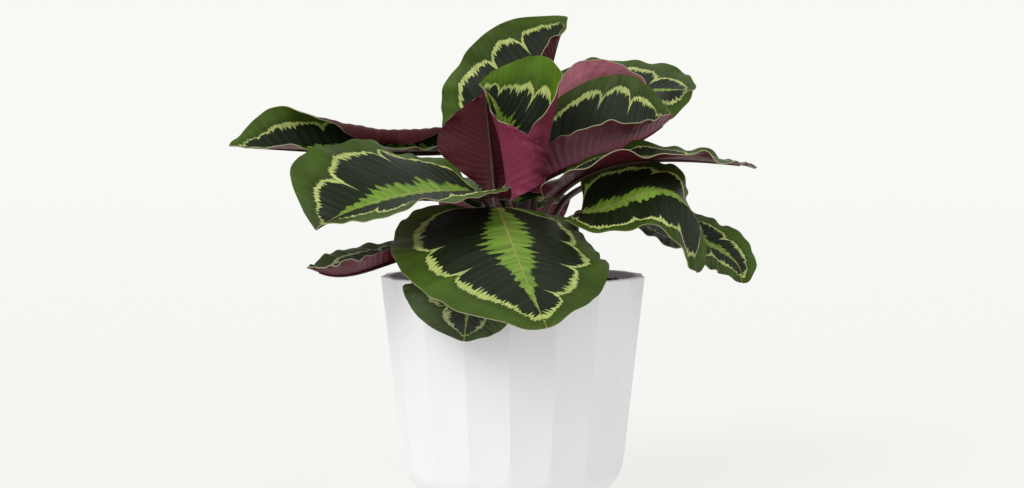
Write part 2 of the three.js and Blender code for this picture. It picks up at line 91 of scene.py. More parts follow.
# ------------------------ the leaves, in mm and degrees
# midrib = joint, two points one and two thirds along, tip; width and full = left and right half;
# face = where the upper side looks at the joint and at the tip; fold and curl = degrees at the joint,
# half way and at the tip, left and right half; wave = height, count and phase of the margin's waves;
# lobe, belly, tip and sweep shift the outline along the midrib; foot, rise and reach lead the stalk.
LEAVES = {
    "front": dict(
        midrib=((-9, -16, 189), (-2, -64, 171), (7, -110, 150), (19, -142, 124)),
        width=(116, 142), full=(0.66, 0.62), belly=0.13, lobe=0.12, wave=(2.2, 2.6, 0.55),
        face=((-0.05, -0.3, 1), (0.12, -0.6, 0.6)), fold=((-14, 0, 0), (1, 4, 0)),
        curl=((-20, -22, -10), (-10, -16, 0)), foot=(-3, -7), rise=30, reach=20),
    "under": dict(
        midrib=((-21, -46, 159), (-22, -78, 152.5), (-25.5, -95, 135), (-29, -97, 112)),
        width=(58, 84), full=(0.8, 0.9), belly=-0.05, lobe=0.02, tip=0.03, wave=(1.5, 3, 0.2),
        face=((-0.15, -0.3, 1), (0, -1, 0.2)),
        curl=((0, 0, 0), (-15, -20, -10)), foot=(-10, -17), rise=12, reach=16),
    "left": dict(
        midrib=((-20, -10, 194), (-53, -38, 199), (-90, -58, 191), (-119, -66, 176)),
        width=(84, 122), full=(0.62, 0.55), belly=0.07, lobe=0.02, sweep=(0, 0.1), wave=(2.5, 3, 0.45),
        face=((0, -0.35, 0.95), (-0.2, -0.85, 0.4)), fold=((20, 27, 60), (22, 3, 6)),
        curl=((0, 0, 0), (-10, -10, -10)), foot=(-15, -4), rise=35, reach=9),
    "left_low": dict(
        midrib=((-48, -13, 161), (-74, -29, 156.5), (-99, -53, 149), (-122, -75, 154.5)),
        width=(42, 60), full=(1.5, 0.8), belly=-0.06, sweep=(0.08, 0), wave=(1.2, 3, 0.2),
        face=((0, -0.05, 1), (0, -0.05, 1)), fold=((0, 36, 20), (8, 16, 0)), foot=(-19, -12),
        rise=10, reach=10),
    "left_high": dict(
        midrib=((-41, 70, 225.5), (-88, 50, 224), (-138, 20, 225.5), (-182, 0, 227.5)),
        width=(66, 74), full=(1, 0.7), lobe=0.05, wave=(1.5, 4, 0.2),
        face=((0, -0.1, 1), (0, -0.2, 1)), fold=((10, 12, 10), (20, 26, 22)),
        curl=((0, 0, 0), (240, 224, -20)), foot=(-19, 19), rise=66, reach=29),
    "back_left": dict(
        midrib=((3, 64, 212), (17, 75, 245.5), (26, 82, 283), (37.5, 85, 317)),
        width=(158, 44), full=(0.9, 1.2), belly=0.08, lobe=0.07, wave=(2.6, 3, 0.6),
        face=((-0.2, -1, 0.3), (-0.2, -1, 0.3)), fold=((-15, -15, 0), (120, 120, 50)),
        curl=((0, 0, 0), (10, 10, 10)), foot=(0, 24), rise=40, reach=22),
    "back_mid": dict(
        midrib=((-12.5, 26, 195), (-14, 32, 215.5), (-16.5, 36, 242), (-19, 36, 269.5)),
        width=(60, 68), full=3, belly=-0.06, wave=(2, 3, 0.2), face=((0.1, 1, 0), (0.1, 1, 0)),
        fold=((30, 20, 0), (0, 0, 0)), foot=(-9, 15), rise=25, reach=16),
    "centre": dict(
        midrib=((0.5, 14, 190), (-3.5, 16, 215.5), (-9, 18, 245), (-22, 18, 268)),
        width=(96, 132), full=(1.5, 0.55), sweep=(-0.2, 0.03), wave=(0, 3, 0.2),
        face=((0.75, -0.6, 0.2), (0.45, -0.85, 0.3)), fold=((4, 15, 36), (2, -19, 0)),
        curl=((198, 162, 42), (330, 230, 54)), foot=(0, 6), rise=25, reach=14),
    "right_high": dict(
        midrib=((16, 57, 203), (45.5, 47, 217), (76.5, 33, 228.5), (103.5, 20, 246.5)),
        width=(106, 94), full=(0.85, 1.3), belly=-0.02, sweep=(0.12, 0.16), wave=(1.6, 3, 0.2),
        face=((-0.2, -0.4, 0.9), (-0.2, -0.4, 0.9)), fold=((48, 46, 20), (58, 42, 30)),
        curl=((10, 10, 10), (10, 10, 10)), foot=(5, 44), rise=18, reach=10),
    "back_right": dict(
        midrib=((25, 83, 235), (61, 92, 256), (95, 95, 266), (124, 86, 266.5)),
        width=(92, 84), full=0.6, lobe=0.04, wave=(1.6, 4, 0.2), face=((0, -0.1, 1), (0, -0.2, 1)),
        fold=((45, 32, 10), (52, 46, -80)), foot=(15, 50), rise=45,
        reach=20),
    "right_thin": dict(
        midrib=((27, 8, 195), (60, 2, 214.5), (104.5, 2, 219), (157, 6, 214)),
        width=(36, 90), full=0.75, lobe=0.04, wave=(2.2, 4.5, 0), face=((0, -0.05, 1), (0, -0.05, 1)),
        fold=((20, 30, 6), (10, 8, 2)), foot=(12, 2), rise=25, reach=14),
    "right_front": dict(
        midrib=((43, -7, 185), (70, -27, 193), (94, -43, 199), (117, -44, 174)),
        width=(80, 72), full=(0.5, 1.2), lobe=0.15, sweep=(-0.12, 0.34), wave=(1.2, 3, 0.2),
        face=((-0.5, -0.75, 0.6), (0.55, -0.7, 0.45)), fold=((-2, -26, -50), (40, 16, 10)),
        foot=(43, 3), rise=17, reach=8),
    "right_low": dict(
        midrib=((82, 8, 184), (109, -6, 172), (135, -16, 159), (144, -20, 141)),
        width=(46, 58), full=0.6, lobe=0.03, wave=(1.5, 3, 0.2), face=((0, -0.5, 1), (0.3, -0.6, 0.7)),
        fold=((6, 6, 6), (18, 14, 7)), foot=(21, -2), rise=35, reach=26),
    "rear_left": dict(
        midrib=((-16, 46, 192), (-40, 68, 205), (-62, 92, 202), (-84, 114, 188)),
        width=(84, 88), full=0.7, lobe=0.05, wave=(2, 3, 0.1), face=((0, 0.1, 1), (-0.2, 0.25, 1)),
        fold=((10, 8, 4), (10, 8, 4)), curl=((-10, -14, -10), (-10, -14, -10)), foot=(-14, 25),
        rise=22, reach=16),
    "rear_mid": dict(
        midrib=((-2, 62, 186), (-5, 92, 197), (-6, 122, 184), (-4, 144, 154)),
        width=(92, 90), full=0.7, lobe=0.06, wave=(2.2, 3, 0.4), face=((0, 0.2, 1), (0, 0.8, 0.5)),
        fold=((10, 6, 2), (10, 6, 2)), curl=((-12, -20, -14), (-12, -20, -14)), foot=(-5, 32), rise=22,
        reach=16),
    "rear_right": dict(
        midrib=((62, 62, 206), (80, 82, 207), (94, 101, 198), (105, 116, 183)),
        width=(66, 60), full=0.7, lobe=0.05, wave=(2, 3, 0.7), face=((0, 0.1, 1), (0.2, 0.3, 1)),
        fold=((8, 6, 4), (8, 6, 4)), curl=((-10, -14, -10), (-10, -14, -10)), foot=(20, 12), rise=50,
        reach=30),
}
FLAT = ((0, 0, 0), (0, 0, 0))

# look of each leaf: seed, green of the border (0 deep, 1 fresh), how pink the underside is, partly a
# young leaf's own colour and partly painted light, lighter on leaves lit from behind and below zero a
# painted shade, or its own colour below, painted lighter where it is lit, how far the upper face is
# greyed as a painted sheen, the reach of the pale ring as a share of
# the half width, how many lobes the ring has, and the half width of the feather
LOOKS = {
    "front": dict(seed=3.0, fresh=0.35, ring=0.66, lobes=3.7),
    "under": dict(seed=5.0, fresh=0.1, sheen_grey=0.75, ring=0.60),
    "left": dict(seed=8.0, fresh=0.2, ring=0.68, feather=0.15),
    "left_low": dict(seed=11.0, fresh=0.1, sheen_grey=0.7, ring=0.6),
    "left_high": dict(seed=14.0, fresh=0.45, sheen_grey=0.1, ring=0.60, pink_and_light=-0.15),
    "back_left": dict(seed=17.0, fresh=0.45, sheen_grey=0.05, ring=0.72, lobes=4.2),
    "back_mid": dict(seed=20.0, fresh=0.3, pink_and_light=-0.1),
    "centre": dict(seed=23.0, fresh=1.0, pink_and_light=0.55, ring=0.66, lobes=4.6),
    "right_high": dict(seed=26.0, fresh=0.0, sheen_grey=0.1, pink_and_light=0.55, ring=0.70, lobes=4.0),
    # back_right's flap gets a set underside colour, painted lighter than its red for the light falling
    # on it
    "back_right": dict(seed=29.0, fresh=0.35, sheen_grey=0.2, below=(0.74, 0.26, 0.34), ring=0.66),
    "right_thin": dict(seed=32.0, fresh=0.2, sheen_grey=0.3, pink_and_light=0.1, ring=0.62),
    "right_front": dict(seed=35.0, fresh=0.25, ring=0.72, lobes=3.0, feather=0.19),
    "right_low": dict(seed=38.0, fresh=0.35, sheen_grey=0.1, ring=0.6),
    "rear_left": dict(seed=41.0, fresh=0.3),
    "rear_mid": dict(seed=44.0, fresh=0.35),
    "rear_right": dict(seed=47.0, fresh=0.3),
}
# what the colours of an upper face move to as a painted sheen greys a leaf, and how far
SHEEN_GREY = {"border": ((0.06, 0.085, 0.045), 0.6), "dark": ((0.035, 0.045, 0.035), 0.6),
        "feather": ((0.16, 0.20, 0.10), 0.8), "ring": ((0.42, 0.45, 0.30), 0.7)}
COMPOST_LIGHT, COMPOST_DEEP = (0.05, 0.035, 0.025), (0.004, 0.003, 0.003)
STALK_TAN = (0.075, 0.035, 0.018)


# ------------------------ settings shown in the sidebar
def colour(name, about, value):
    return bpy.props.FloatVectorProperty(name=name, description=about, subtype="COLOR", size=3,
                                         min=0.0, max=1.0, default=value)


def count(name, about, value, low, high):
    return bpy.props.IntProperty(name=name, description=about, default=value, min=low, max=high)


def strength(name, about, value):
    return bpy.props.FloatProperty(name=name, description=about, default=value, min=0.0)


class PotSettings(bpy.types.PropertyGroup):
    glaze: colour("Glaze", "Colour of the matt pot", (0.875, 0.878, 0.892))
    facets: count("Facets", "Faces across one flute", 12, 3, 24)
    crumbs: count("Crumbs", "Loose crumbs on the compost", 900, 0, 4000)
    compost: colour("Compost", "Colour of the damp compost", (0.012, 0.009, 0.007))


class LeafSettings(bpy.types.PropertyGroup):
    thickness: bpy.props.FloatProperty(name="Thickness", description="Thickness of a blade",
                                       default=0.00055, min=0.0003, max=0.001, unit="LENGTH")
    rows: count("Rows", "Faces along a blade", 110, 20, 200)
    columns: count("Columns", "Faces across a blade", 56, 16, 120)
    border: colour("Border", "Green outside the pale ring", (0.046, 0.078, 0.009))
    border_fresh: colour("Fresh border", "Border of a young leaf", (0.085, 0.165, 0.009))
    ring: colour("Ring", "The pale ring", (0.60, 0.66, 0.22))
    dark: colour("Dark", "The dark field inside the ring", (0.0085, 0.0135, 0.0045))
    feather: colour("Feather", "The bright feather along the midrib", (0.21, 0.36, 0.045))
    rib: colour("Rib", "The line of the midrib", (0.36, 0.33, 0.10))
    underside: colour("Underside", "Wine red below", (0.105, 0.012, 0.022))
    # the pinker underside of a young leaf, also used as painted light on leaves lit from behind
    underside_pink_and_lit: colour("Young underside", "Underside of a young leaf", (0.36, 0.05, 0.115))
    edge: colour("Edge", "The thin pale edge of a blade", (0.42, 0.40, 0.20))


class StalkSettings(bpy.types.PropertyGroup):
    sides: count("Sides", "Faces round a stalk", 12, 6, 24)
    skin: colour("Skin", "Dark red brown of the stalks", (0.055, 0.009, 0.010))


class StageSettings(bpy.types.PropertyGroup):
    floor: colour("Floor", "The plain pale floor", (0.23, 0.23, 0.214))
    glow: strength("Glow", "Light that the paper itself gives", 0.7)
    key: strength("Key", "Strength of the large light", 1.2)
    sky: strength("Sky", "Strength of the even light", 0.72)


# ------------------------ surface of a blade
def unit(v):
    return v / np.maximum(np.linalg.norm(v, axis=-1, keepdims=True), 1e-9)


def along(three, t):
    """A value that is three[0] at the joint, three[1] half way and three[2] at the tip."""
    return three[0] * (1 - t) * (1 - 2 * t) + 4 * three[1] * t * (1 - t) + three[2] * t * (2 * t - 1)


def pair(value):
    return value if isinstance(value, tuple) else (value, value)


class Midrib:
    """The curve through a leaf's four midrib points, measured by its length."""

    def __init__(self, points):
        q = np.array(points, float)
        self.b = np.array([q[0], (-5 * q[0] + 18 * q[1] - 9 * q[2] + 2 * q[3]) / 6,
                           (2 * q[0] - 9 * q[1] + 18 * q[2] - 5 * q[3]) / 6, q[3]])
        self.t = np.linspace(0, 1, 401)
        steps = np.linalg.norm(np.diff(self.point(self.t), axis=0), axis=1)
        self.run = np.concatenate([[0], np.cumsum(steps)])
        self.length = self.run[-1]

    def point(self, t):
        t, b = np.asarray(t, float)[..., None], self.b
        return (b[0] * (1 - t) ** 3 + 3 * b[1] * t * (1 - t) ** 2 + 3 * b[2] * t * t * (1 - t)
                + b[3] * t ** 3)

    def at(self, share):
        """Point and direction at a share of the length; past the ends it runs on straight."""
        share = np.asarray(share, float)
        inside = np.clip(share, 0, 1)
        t = np.interp(inside * self.length, self.run, self.t)
        s, b = t[..., None], self.b
        way = unit(3 * ((b[1] - b[0]) * (1 - s) ** 2 + 2 * (b[2] - b[1]) * s * (1 - s)
                        + (b[3] - b[2]) * s * s))
        return self.point(t) + way * ((share - inside) * self.length)[..., None], way


def margin(u, leaf, right):
    """Half width and place along the midrib of the margin at u, both as shares."""
    tip = leaf.get("tip", 0.06)
    full = np.where(right, *pair(leaf["full"])[::-1])
    x = np.sin(np.pi * np.clip(u, 0, 1)) ** full
    y = (1 - np.cos(np.pi * u)) / 2
    y = y - leaf.get("belly", 0) * np.sin(np.pi * y)
    y = y * (1 - tip) - leaf.get("lobe", 0) * np.sin(np.pi * np.clip(u / 0.45, 0, 1))
    k = np.clip((u - 0.86) / 0.14, 0, 1)
    y = y + tip * k ** 1.5
    x = x * (1 - 0.35 * np.sin(np.pi * k) * k)
    y = y + np.where(right, *leaf.get("sweep", (0, 0))[::-1]) * 2 * u * np.sin(np.pi * np.clip(u, 0, 1))
    return np.maximum(x, 0), y


class Blade:
    """The middle surface of one leaf, in mm: u from the joint to the tip, v from the left margin
    (-1) to the right (1)."""

    def __init__(self, name):
        self.leaf = LEAVES[name]
        self.rib = Midrib(self.leaf["midrib"])

    def flat(self, u, v):
        """Place on the flat leaf: across the midrib in mm, and along it as a share."""
        right, a = v >= 0, np.abs(v)
        half = np.where(right, self.leaf["width"][1], self.leaf["width"][0]) / 2
        x, y = margin(u, self.leaf, right)
        x = (x * half + BASE_HALF * (1 - u) + TIP_HALF * u) * a
        start = 0.995 * u ** 1.08
        return x, start + (y - start) * (0.55 * a + 0.45 * a * a), half

    def point(self, u, v):
        """Place on the folded, curled and waved surface."""
        leaf, right, a = self.leaf, v >= 0, np.abs(v)
        x, y, half = self.flat(u, v)
        middle, way = self.rib.at(y)
        t = np.clip(y, 0, 1)
        blend = (t * t * (3 - 2 * t))[..., None]
        face = unit(np.array(leaf["face"][0], float)) * (1 - blend) \
            + unit(np.array(leaf["face"][1], float)) * blend
        up = unit(face - way * np.sum(face * way, -1, keepdims=True))
        out = np.cross(way, up)
        fold, curl = (np.radians(np.where(right, along(halves[1], t), along(halves[0], t)))
                      for halves in (leaf.get("fold", FLAT), leaf.get("curl", FLAT)))
        curl = np.where(np.abs(curl) < 1e-3, 1e-3, curl)
        turn = fold + curl * x / half
        across = (half / curl) * (np.sin(turn) - np.sin(fold))
        rise = -(half / curl) * (np.cos(turn) - np.cos(fold))
        height, count, phase = leaf["wave"]
        p = np.where(right, phase + 0.37, phase)
        ramp = a ** 2.5 * np.sqrt(np.sin(np.pi * np.clip(u, 0, 1)).clip(0))
        wave = height * ramp * (np.sin(2 * np.pi * (count * u + p))
                                + 0.45 * np.sin(2 * np.pi * (1.83 * count * u + 1.7 * p + 0.2)))
        across = (across - wave * np.sin(turn)) * np.where(right, 1.0, -1.0)
        rise = rise + wave * np.cos(turn)
        return middle + out * across[..., None] + up * rise[..., None]

    def normal(self, u, v):
        """The way that the upper side looks."""
        e = 0.004
        du = self.point(np.clip(u + e, 0, 1), v) - self.point(np.clip(u - e, 0, 1), v)
        dv = self.point(u, np.clip(v + e, -1, 1)) - self.point(u, np.clip(v - e, -1, 1))
        return unit(np.cross(dv, du))

    def marks(self, u, v):
        """Fields that the markings follow: number of the side vein, share of the way to the
        margin all round, signed share across, and distance from the midrib in metres."""
        x, y, half = self.flat(u, v)
        k = np.clip((y + 0.1) / 0.9, 0, 1)
        vein = y - (0.05 + 0.62 * k * k * (3 - 2 * k)) * x / self.rib.length
        ahead = np.clip((u - 0.35) / 0.65, 0, None)
        rho = (np.abs(v) ** 3 + ahead ** 3) ** (1 / 3)
        return {"vein": vein, "rho": rho, "share": v, "across": x * MM}


# ------------------------ helpers for meshes
def finished(mesh, name, node, materials):
    """Links a piece with its place in its mesh, and hangs it on the frame in place of its node."""
    piece = bpy.data.objects.new(name, mesh)
    bpy.context.scene.collection.objects.link(piece)
    for material in materials:
        mesh.materials.append(material)
    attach(piece, ROOT)
    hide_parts(node)
    return piece


def edges_of(verts):
    """The edges at some vertices, each once and in their order."""
    return list(dict.fromkeys(e for v in verts for e in v.link_edges))


def grow_ring(bm, edges):
    """Extrudes a ring of edges; gives the new ring's vertices and edges."""
    grown = bmesh.ops.extrude_edge_only(bm, edges=edges)["geom"]
    verts = [g for g in grown if isinstance(g, bmesh.types.BMVert)]
    new = set(verts)
    return verts, [g for g in grown if isinstance(g, bmesh.types.BMEdge)
                   and g.verts[0] in new and g.verts[1] in new]


def sweep_rings(bm, rings, sides):
    """A closed tube through rings given as 4x4 matrices that place a unit circle."""
    made = bmesh.ops.create_circle(bm, cap_ends=False, segments=sides, radius=1.0)
    verts = made["verts"]
    bmesh.ops.transform(bm, matrix=rings[0], verts=verts)
    edges = edges_of(verts)
    bmesh.ops.contextual_create(bm, geom=edges)
    for before, after in zip(rings, rings[1:]):
        verts, edges = grow_ring(bm, edges)
        bmesh.ops.transform(bm, matrix=after @ before.inverted(), verts=verts)
    bmesh.ops.contextual_create(bm, geom=edges)


def ring_frames(points, radii):
    """Matrices that carry a unit circle along points, turned as little as can be."""
    frames, side = [], Vector((1, 0, 0))
    for i, (p, r) in enumerate(zip(points, radii)):
        way = (points[min(i + 1, len(points) - 1)] - points[max(i - 1, 0)]).normalized()
        side = (side - way * side.dot(way)).normalized()
        other = way.cross(side)
        frames.append(Matrix((
            (side.x * r, other.x * r, way.x * r, p.x), (side.y * r, other.y * r, way.y * r, p.y),
            (side.z * r, other.z * r, way.z * r, p.z), (0, 0, 0, 1))))
    return frames


def to_mesh(bm, name, smooth=True):
    """Writes a bmesh to a new mesh and frees it."""
    mesh = bpy.data.meshes.new(name)
    bm.to_mesh(mesh)
    bm.free()
    mesh.polygons.foreach_set("use_smooth", [smooth] * len(mesh.polygons))
    return mesh


# ------------------------ helpers for shader nodes
class Graph:
    """Adds nodes to a shader tree and joins them."""

    def __init__(self, tree):
        self.tree = tree

    def node(self, kind, inputs=(), **settings):
        made = self.tree.nodes.new(kind)
        for key, value in settings.items():
            setattr(made, key, value)
        for key, value in dict(inputs).items():
            self.feed(made.inputs[key], value)
        return made

    def feed(self, socket, value):
        if isinstance(value, bpy.types.NodeSocket):
            self.tree.links.new(value, socket)
        else:
            socket.default_value = value

    def math(self, operation, a, b=0.0, c=0.0, clamp=False):
        return self.node("ShaderNodeMath", {0: a, 1: b, 2: c}, operation=operation,
                         use_clamp=clamp).outputs[0]

    def line(self, value, slope, start, clamp=False):
        return self.math("MULTIPLY_ADD", value, slope, start, clamp)

    def times(self, a, b):
        return self.math("MULTIPLY", a, b)

    def mix(self, factor, a, b):
        made = self.node("ShaderNodeMix", data_type="RGBA")
        for key, value in ((0, factor), (6, a), (7, b)):
            if key and not isinstance(value, bpy.types.NodeSocket):
                value = (*value[:3], 1.0)
            self.feed(made.inputs[key], value)
        return made.outputs[2]

    def span(self, value, low, high, start=0.0, end=1.0):
        """value taken smoothly from low..high to start..end."""
        return self.node("ShaderNodeMapRange", {0: value, 1: low, 2: high, 3: start, 4: end},
                         interpolation_type="SMOOTHSTEP").outputs[0]

    def noise(self, vector, scale, detail=2.0, rough=0.5):
        return self.node("ShaderNodeTexNoise", {"Vector": vector, "Scale": scale,
                                                "Detail": detail, "Roughness": rough}).outputs[0]

    def noise_line(self, w, scale):
        return self.node("ShaderNodeTexNoise", {"W": w, "Scale": scale, "Detail": 1.0},
                         noise_dimensions="1D").outputs[0]

    def random(self, w):
        return self.node("ShaderNodeTexWhiteNoise", {"W": w}, noise_dimensions="1D").outputs[0]

    def attribute(self, name):
        return self.node("ShaderNodeAttribute", attribute_name=name).outputs["Fac"]

    def bump(self, height, strength, distance):
        return self.node("ShaderNodeBump", {"Height": height, "Strength": strength,
                                            "Distance": distance}).outputs[0]


def node_group(name, ins, outs):
    """An empty shader node group with its sockets, and its graph with the two end nodes."""
    tree = bpy.data.node_groups.new(name, "ShaderNodeTree")
    for label, kind, value in ins:
        made = tree.interface.new_socket(label, in_out="INPUT", socket_type="NodeSocket" + kind)
        made.default_value = value
    for label, kind in outs:
        tree.interface.new_socket(label, in_out="OUTPUT", socket_type="NodeSocket" + kind)
    graph = Graph(tree)
    return tree, graph, graph.node("NodeGroupInput").outputs, graph.node("NodeGroupOutput").inputs


def blank_material(name):
    material = bpy.data.materials.new(name)
    material.use_nodes = True
    material.node_tree.nodes.clear()
    graph = Graph(material.node_tree)
    shader = graph.node("ShaderNodeBsdfPrincipled")
    out = graph.node("ShaderNodeOutputMaterial")
    graph.feed(out.inputs["Surface"], shader.outputs[0])
    return material, graph, shader


def vein_teeth_group():
    """Pointed teeth along the side veins: one tooth to a fine vein, each of its own length."""
    tree, g, i, o = node_group("vein_teeth", [("Vein", "Float", 0.0), ("Count", "Float", 50.0),
                                              ("Seed", "Float", 0.0)],
                               [("Tooth", "Float"), ("Random", "Float")])
    at = g.times(i["Vein"], i["Count"])
    cell = g.math("FLOOR", at)
    part = g.math("FRACT", at)
    point = g.math("SUBTRACT", 1.0, g.math("ABSOLUTE", g.line(part, 2.0, -1.0)))
    length = g.random(g.math("ADD", cell, i["Seed"]))
    g.feed(o["Tooth"], g.times(g.math("POWER", point, 0.7), g.line(length, 0.8, 0.2)))
    g.feed(o["Random"], length)
    return tree


def leaf_marks_group(teeth):
    """Masks of the painted leaf: pale ring, dark field, feather and midrib, with streaks along
    the side veins and the relief of the veins."""
    tree, g, i, o = node_group("leaf_marks", [
        ("Seed", "Float", 0.0), ("Ring Reach", "Float", 0.62), ("Lobes", "Float", 3.4),
        ("Lobe Depth", "Float", 0.15), ("Feather Width", "Float", 0.17)],
        [("Ring", "Float"), ("Dark", "Float"), ("Feather", "Float"), ("Rib", "Float"),
         ("Streak", "Float"), ("Near Ring", "Float"), ("Relief", "Float"), ("Vein", "Float")])
    vein, rho = g.attribute("vein"), g.attribute("rho")
    share, across = g.attribute("share"), g.attribute("across")
    side = g.math("GREATER_THAN", share, 0.0)
    seed = g.line(side, 5.3, i["Seed"])
    far = g.math("ABSOLUTE", share)

    def teeth_at(count, shift):
        made = g.node("ShaderNodeGroup", {"Vein": vein, "Count": count,
                                          "Seed": g.line(seed, 13.0, shift)}, node_tree=teeth)
        return made.outputs["Tooth"], made.outputs["Random"]

    tooth_in, tooth_out = teeth_at(TEETH_INSIDE, 0.0), teeth_at(TEETH_OUTSIDE, 31.7)
    barb, fine = teeth_at(BARBS, 57.1), teeth_at(FINE_VEINS, 77.3)
    drift = g.line(g.noise_line(g.math("ADD", vein, seed), 3.1), 0.22, -0.11)
    turn = g.math("ADD", g.times(g.math("ADD", vein, drift), i["Lobes"]), g.times(seed, 0.37))
    wave = g.math("ABSOLUTE", g.math("SINE", g.times(turn, math.pi)))
    lobe = g.math("POWER", wave, 0.6)
    late = g.span(vein, RING_TIP_START, RING_TIP_END)
    early = g.math("SUBTRACT", 1.0, late)
    outer = g.line(g.times(lobe, early), i["Lobe Depth"], i["Ring Reach"])
    outer = g.line(late, g.math("SUBTRACT", RING_TIP_REACH, i["Ring Reach"]), outer)
    outer = g.line(tooth_out[0], RING_TOOTH, outer)
    outer = g.line(g.noise_line(g.math("ADD", vein, seed), 24.0), RING_ROUGH,
                   g.math("SUBTRACT", outer, RING_ROUGH / 2))
    calm = g.line(late, -0.6, 1.0)
    width = g.line(g.times(wave, wave), RING_LOBE_WIDTH, RING_WIDTH)
    width = g.times(width, g.line(g.noise_line(g.line(seed, 2.0, vein), 11.0), 1.4, 0.35))
    width = g.math("ADD", width, g.times(tooth_in[0], g.line(wave, *RING_TEETH)))
    cusp = g.times(g.math("POWER", g.math("SUBTRACT", 1.0, wave), 5.0), early)
    width = g.line(cusp, RING_CUSP_WIDTH, width)
    inner = g.math("SUBTRACT", outer, g.times(width, calm))
    inside_outer = g.span(g.math("SUBTRACT", outer, rho), -RING_SOFT, RING_SOFT)
    inside_inner = g.span(g.math("SUBTRACT", inner, rho), -RING_SOFT, RING_SOFT)
    g.feed(o["Dark"], inside_inner)
    g.feed(o["Ring"], g.math("SUBTRACT", inside_outer, inside_inner, clamp=True))
    g.feed(o["Near Ring"], g.span(g.math("SUBTRACT", rho, outer), 0.0, 0.13, 1.0, 0.0))
    fade = g.math("POWER", g.span(vein, 0.25, 0.98, 1.0, 0.0), 0.7)
    tuft = g.math("ABSOLUTE", g.math("SINE", g.line(turn, 1.35 * math.pi, 1.1)))
    tuft = g.math("POWER", tuft, 0.8)
    plume = g.times(i["Feather Width"], g.line(tuft, 0.55, 0.35))
    plume = g.line(barb[0], BARB_REACH, plume)
    plume = g.line(fine[0], FINE_REACH, plume)
    plume = g.times(plume, fade)
    g.feed(o["Feather"], g.span(g.math("SUBTRACT", plume, far), -FEATHER_SOFT, FEATHER_SOFT))
    thin = g.span(vein, 0.0, 1.0, *RIB_LINE)
    g.feed(o["Rib"], g.span(g.math("SUBTRACT", thin, across), -RIB_SOFT, RIB_SOFT))
    streak = g.noise_line(g.line(seed, 3.0, vein), 110.0)
    g.feed(o["Streak"], g.line(fine[1], 0.5, g.times(streak, 0.5)))
    coarse, small = (g.math("SINE", g.times(vein, 2 * math.pi * count))
                     for count in (SIDE_VEINS, 4 * SIDE_VEINS))
    relief = g.math("ADD", g.times(coarse, 0.75), g.times(small, 0.25))
    g.feed(o["Relief"], g.times(relief, g.span(across, 0.001, 0.006)))
    g.feed(o["Vein"], g.math("POWER", g.line(coarse, 0.5, 0.5), 12.0))
    return tree


def mottle_group():
    """Slow and fine unevenness of a natural or fired surface, as values round zero."""
    tree, g, i, o = node_group("mottle", [("Scale", "Float", 40.0), ("Seed", "Float", 0.0)],
                               [("Slow", "Float"), ("Fine", "Float")])
    spot = g.node("ShaderNodeTexCoord").outputs["Object"]
    moved = g.node("ShaderNodeVectorMath", {0: spot, 1: (0.37, 0.21, 0.11)}, operation="ADD")
    shifted = g.node("ShaderNodeVectorMath", {0: moved.outputs[0]}, operation="ADD")
    g.feed(shifted.inputs[1], g.node("ShaderNodeCombineXYZ", {0: i["Seed"]}).outputs[0])
    g.feed(o["Slow"], g.math("SUBTRACT", g.noise(shifted.outputs[0], i["Scale"], 2.0), 0.5))
    fine = g.noise(shifted.outputs[0], g.times(i["Scale"], 14.0), 3.0, 0.6)
    g.feed(o["Fine"], g.math("SUBTRACT", fine, 0.5))
    return tree


def groups():
    """The shared node groups, made once."""
    made = bpy.data.node_groups
    if "leaf_marks" not in made:
        leaf_marks_group(vein_teeth_group())
        mottle_group()
    return made["leaf_marks"], made["mottle"]


def lerp(a, b, k):
    return tuple(x + (y - x) * k for x, y in zip(a, b))


def shade(tone, k):
    return tuple(min(1.0, c * k) for c in tone)


def plain_parts(name, scale):
    """An empty material with its shader and the outputs of its mottle."""
    material, g, shader = blank_material(name)
    return material, g, shader, g.node("ShaderNodeGroup", {"Scale": scale},
                                       node_tree=groups()[1]).outputs


def leaf_parts(name, look, scale):
    """An empty leaf material with its shader, marks and mottle."""
    marks, mottle = groups()
    material, g, shader = blank_material(name)
    m = g.node("ShaderNodeGroup", {"Seed": look["seed"], "Ring Reach": look.get("ring", 0.62),
                                   "Lobes": look.get("lobes", 3.4),
                                   "Feather Width": look.get("feather", 0.17)},
               node_tree=marks).outputs
    spots = g.node("ShaderNodeGroup", {"Scale": scale, "Seed": look["seed"]}, node_tree=mottle)
    return material, g, shader, m, spots.outputs


